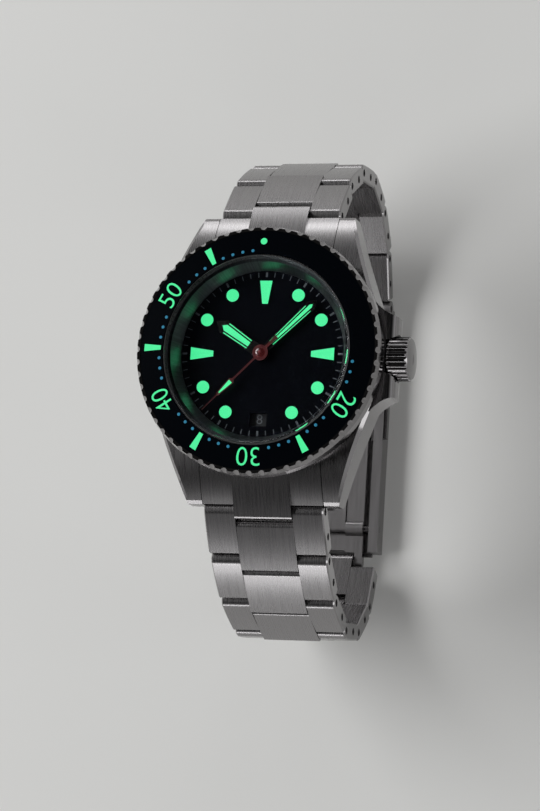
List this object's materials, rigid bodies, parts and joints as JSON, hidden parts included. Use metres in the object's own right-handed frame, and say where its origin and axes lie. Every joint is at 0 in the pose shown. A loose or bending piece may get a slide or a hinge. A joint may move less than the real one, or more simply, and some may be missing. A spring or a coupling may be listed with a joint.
{
  "type": "dive watch",
  "caption": "Wristwatch with a turning scalloped bezel, domed crown between guards and a three-piece link bracelet closed by a folding clasp.",
  "frame": {"origin": "centre of the case back's outer face", "axes": "+Z out of the dial, +Y towards 12 o'clock, +X towards the crown at 3 o'clock; the bracelet hangs below in a closed loop"},
  "size_m": [0.0434, 0.0789, 0.0521],
  "materials": {
    "case_steel": "brushed tops, polished flanks",
    "bracelet_steel": "brushed",
    "clasp_steel": "brushed",
    "spring_steel": "bright",
    "rehaut_steel": "satin",
    "hand_metal": "dark polished",
    "dial_lacquer": "matte",
    "date_print": "matte",
    "seconds_lacquer": "lacquered",
    "insert_black": "satin, standing in for ceramic",
    "lume": "glowing",
    "sapphire": "clear",
    "gasket_rubber": "matte",
    "movement_brass": "satin",
    "holder_plastic": "matte"
  },
  "bodies": {
    "case": {"mid_case": "case_steel", "case_back": "case_steel", "case_back_gasket": "gasket_rubber", "crystal": "sapphire", "crystal_gasket": "gasket_rubber", "rehaut_ring": "rehaut_steel", "dial": "dial_lacquer", "hour_markers": "lume", "movement": "movement_brass", "movement_holder": "holder_plastic", "crown_tube": "case_steel", "bezel_click_spring": "spring_steel", "bezel_gasket": "gasket_rubber", "end_link_12h": "bracelet_steel", "end_link_6h": "bracelet_steel", "lug_spring_bars": "spring_steel"},
    "bezel": {"bezel": "case_steel", "bezel_insert": "insert_black", "bezel_markers": "lume"},
    "date_disc": {"date_disc": "date_print"},
    "rotor": {"rotor": "movement_brass"},
    "setting_lever": {"setting_lever": "spring_steel"},
    "crown": {"crown": "case_steel", "winding_stem": "spring_steel"},
    "minute_hand": {"minute_hand": "hand_metal", "minute_hand_lume": "lume", "cannon_pinion": "spring_steel"},
    "hour_hand": {"hour_hand": "hand_metal", "hour_hand_lume": "lume", "hour_wheel": "movement_brass"},
    "seconds_hand": {"seconds_hand": "seconds_lacquer", "seconds_hand_lume": "lume", "seconds_arbor": "spring_steel"},
    "link_12h_1": {"link_12h_1": "bracelet_steel"},
    "link_12h_2": {"link_12h_2": "bracelet_steel"},
    "link_12h_3": {"link_12h_3": "bracelet_steel"},
    "link_12h_4": {"link_12h_4": "bracelet_steel"},
    "link_12h_5": {"link_12h_5": "bracelet_steel"},
    "link_12h_6": {"link_12h_6": "bracelet_steel", "clasp_spring_bar_12h": "spring_steel"},
    "link_6h_1": {"link_6h_1": "bracelet_steel"},
    "link_6h_2": {"link_6h_2": "bracelet_steel"},
    "link_6h_3": {"link_6h_3": "bracelet_steel"},
    "link_6h_4": {"link_6h_4": "bracelet_steel"},
    "link_6h_5": {"link_6h_5": "bracelet_steel"},
    "link_6h_6": {"link_6h_6": "bracelet_steel"},
    "clasp_blade_2": {"clasp_blade_2": "clasp_steel", "clasp_spring_bar_6h": "spring_steel", "clasp_fold_pin": "spring_steel"},
    "clasp_blade_1": {"clasp_blade_1": "clasp_steel"},
    "clasp_cover": {"clasp_cover": "clasp_steel", "clasp_cover_pin": "spring_steel", "safety_flap_pin": "spring_steel"},
    "safety_flap": {"safety_flap": "clasp_steel"},
    "release_button_right": {"release_button_right": "clasp_steel"},
    "release_button_left": {"release_button_left": "clasp_steel"}
  },
  "joints": [
    {"name": "bezel_turn", "type": "hinge", "parent": "case", "child": "bezel", "pos_m": [0, 0, 0.0095], "axis": [0, 0, 1], "continuous": true},
    {"name": "crown_pull", "type": "slide", "parent": "case", "child": "setting_lever", "axis": [1, 0, 0], "range_m": [0, 0.002]},
    {"name": "crown_turn", "type": "hinge", "parent": "setting_lever", "child": "crown", "pos_m": [0.0196, 0, 0.0054], "axis": [1, 0, 0], "continuous": true},
    {"name": "minute_hand_turn", "type": "hinge", "parent": "case", "child": "minute_hand", "pos_m": [0, 0, 0.00895], "axis": [0, 0, -1], "continuous": true},
    {"name": "hour_hand_turn", "type": "hinge", "parent": "case", "child": "hour_hand", "pos_m": [0, 0, 0.00895], "axis": [0, 0, -1], "continuous": true},
    {"name": "seconds_hand_turn", "type": "hinge", "parent": "case", "child": "seconds_hand", "pos_m": [0, 0, 0.00895], "axis": [0, 0, -1], "continuous": true},
    {"name": "date_disc_turn", "type": "hinge", "parent": "case", "child": "date_disc", "pos_m": [0, 0, 0.00815], "axis": [0, 0, -1], "continuous": true},
    {"name": "rotor_turn", "type": "hinge", "parent": "case", "child": "rotor", "pos_m": [0, 0, 0.00295], "axis": [0, 0, 1], "continuous": true},
    {"name": "row_12h_1", "type": "hinge", "parent": "case", "child": "link_12h_1", "pos_m": [0, 0.0239, 0.00215], "axis": [1, 0, 0], "range_deg": [0, 30]},
    {"name": "row_12h_2", "type": "hinge", "parent": "link_12h_1", "child": "link_12h_2", "pos_m": [0, 0.03029, -0.0036], "axis": [1, 0, 0], "range_deg": [0, 19]},
    {"name": "row_12h_3", "type": "hinge", "parent": "link_12h_2", "child": "link_12h_3", "pos_m": [0, 0.03446, -0.01113], "axis": [1, 0, 0], "range_deg": [0, 24]},
    {"name": "row_12h_4", "type": "hinge", "parent": "link_12h_3", "child": "link_12h_4", "pos_m": [0, 0.03521, -0.01969], "axis": [1, 0, 0], "range_deg": [0, 29]},
    {"name": "row_12h_5", "type": "hinge", "parent": "link_12h_4", "child": "link_12h_5", "pos_m": [0, 0.03171, -0.02755], "axis": [1, 0, 0], "range_deg": [0, 26]},
    {"name": "row_12h_6", "type": "hinge", "parent": "link_12h_5", "child": "link_12h_6", "pos_m": [0, 0.02512, -0.03308], "axis": [1, 0, 0], "range_deg": [0, 21]},
    {"name": "row_6h_1", "type": "hinge", "parent": "case", "child": "link_6h_1", "pos_m": [0, -0.0239, 0.00215], "axis": [-1, 0, 0], "range_deg": [0, 24]},
    {"name": "row_6h_2", "type": "hinge", "parent": "link_6h_1", "child": "link_6h_2", "pos_m": [0, -0.03103, -0.00266], "axis": [-1, 0, 0], "range_deg": [0, 13]},
    {"name": "row_6h_3", "type": "hinge", "parent": "link_6h_2", "child": "link_6h_3", "pos_m": [0, -0.03689, -0.00895], "axis": [-1, 0, 0], "range_deg": [0, 19]},
    {"name": "row_6h_4", "type": "hinge", "parent": "link_6h_3", "child": "link_6h_4", "pos_m": [0, -0.04039, -0.01681], "axis": [-1, 0, 0], "range_deg": [0, 29]},
    {"name": "row_6h_5", "type": "hinge", "parent": "link_6h_4", "child": "link_6h_5", "pos_m": [0, -0.03964, -0.02537], "axis": [-1, 0, 0], "range_deg": [0, 31]},
    {"name": "row_6h_6", "type": "hinge", "parent": "link_6h_5", "child": "link_6h_6", "pos_m": [0, -0.03459, -0.03233], "axis": [-1, 0, 0], "range_deg": [0, 29.6]},
    {"name": "clasp_end", "type": "hinge", "parent": "link_6h_6", "child": "clasp_blade_2", "pos_m": [0, -0.02675, -0.03588], "axis": [-1, 0, 0], "range_deg": [0, 24]},
    {"name": "clasp_fold", "type": "hinge", "parent": "clasp_blade_2", "child": "clasp_blade_1", "pos_m": [0, 0.00699, -0.03588], "axis": [1, 0, 0], "range_deg": [0, 155]},
    {"name": "clasp_cover_swing", "type": "hinge", "parent": "clasp_blade_1", "child": "clasp_cover", "pos_m": [0, -0.02101, -0.03588], "axis": [-1, 0, 0], "range_deg": [0, 155]},
    {"name": "safety_flap_swing", "type": "hinge", "parent": "clasp_cover", "child": "safety_flap", "pos_m": [0, -0.01051, -0.03773], "axis": [1, 0, 0], "range_deg": [0, 90]},
    {"name": "release_button_right_press", "type": "slide", "parent": "clasp_cover", "child": "release_button_right", "axis": [-1, 0, 0], "range_m": [0, 0.00045], "stiffness_N_per_m": 400, "springref_m": -0.0005},
    {"name": "release_button_left_press", "type": "slide", "parent": "clasp_cover", "child": "release_button_left", "axis": [1, 0, 0], "range_m": [0, 0.00045], "stiffness_N_per_m": 400, "springref_m": -0.0005}
  ],
  "couplings": [
    {"joint": "hour_hand_turn", "follows": "minute_hand_turn", "ratio": 0.083333},
    {"joint": "clasp_cover_swing", "follows": "clasp_fold", "ratio": 1}
  ]
}
